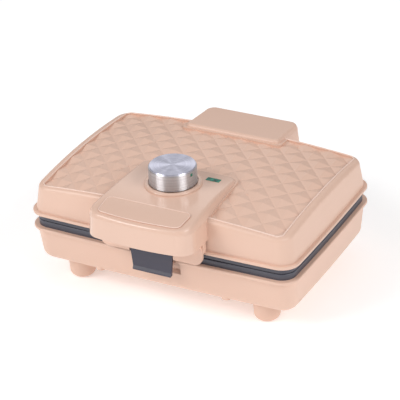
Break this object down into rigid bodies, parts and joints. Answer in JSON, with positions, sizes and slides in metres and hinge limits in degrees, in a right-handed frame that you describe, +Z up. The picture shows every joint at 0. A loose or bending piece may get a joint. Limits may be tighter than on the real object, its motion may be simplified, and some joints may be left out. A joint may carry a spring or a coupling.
{
  "type": "double waffle maker",
  "caption": "Worktop waffle maker with a hinged lid, square waffle hollows side by side, a front handle with a turning heat knob and a swinging latch.",
  "frame": {"origin": "on the table, under the middle of the closed appliance's box", "axes": "+X along the longest side, to the right seen from the handle; the handle points to -Y; +Z up"},
  "size_m": [0.2526, 0.234, 0.1207],
  "materials": {
    "shell": "satin",
    "gloss": "gloss",
    "plate": "non-stick coating, satin",
    "latch": "satin",
    "knob_metal": "turned",
    "steel": "satin",
    "sheet": "mill",
    "dark": "satin",
    "lens": "translucent",
    "mark": "printed",
    "lamp": "clear",
    "ceramic": "ceramic",
    "brass": "plain"
  },
  "bodies": {
    "base": {"base_shell": "shell", "lower_cooking_plate": "plate", "lower_heating_element": "steel", "lower_heat_shield": "sheet", "foot_front_left": "shell", "foot_front_right": "shell", "foot_rear_left": "shell", "foot_rear_right": "shell", "foot_screws": "steel", "lower_plate_screws": "steel", "lower_shield_screws": "steel", "hinge_cover_lower": "shell", "hinge_bracket_lower": "steel", "hinge_pin": "steel", "cord_gland": "dark", "terminal_block": "ceramic", "thermal_fuse": "lamp"},
    "lid": {"lid_shell": "shell", "upper_cooking_plate": "plate", "upper_heating_element": "steel", "upper_heat_shield": "sheet", "upper_plate_screws": "steel", "upper_shield_screws": "steel", "handle_cover": "gloss", "grip_pad": "gloss", "handle_underside": "shell", "handle_screws": "steel", "knob_bezel": "gloss", "indicator_lens": "lens", "indicator_lamp": "lamp", "thermostat": "ceramic", "shaft_bush": "brass", "latch_pin": "steel", "latch_spring": "steel", "hinge_cover_upper": "shell", "hinge_bracket_upper": "steel"},
    "knob": {"knob_core": "dark", "knob_ring": "knob_metal", "knob_disc": "knob_metal", "knob_index": "mark", "control_shaft": "steel"},
    "latch": {"latch": "latch"}
  },
  "joints": [
    {"name": "lid_hinge", "type": "hinge", "parent": "base", "child": "lid", "pos_m": [0, 0.0974, 0.05885], "axis": [-1, 0, 0], "range_deg": [0, 100]},
    {"name": "latch_pivot", "type": "hinge", "parent": "lid", "child": "latch", "pos_m": [0, -0.094, 0.0715], "axis": [-1, 0, 0], "range_deg": [0, 22], "stiffness_Nm_per_rad": 0.02, "springref_deg": -5.73},
    {"name": "knob_turn", "type": "hinge", "parent": "lid", "child": "knob", "pos_m": [0, -0.0466, 0.105], "axis": [0, 0, -1], "range_deg": [0, 270]}
  ]
}
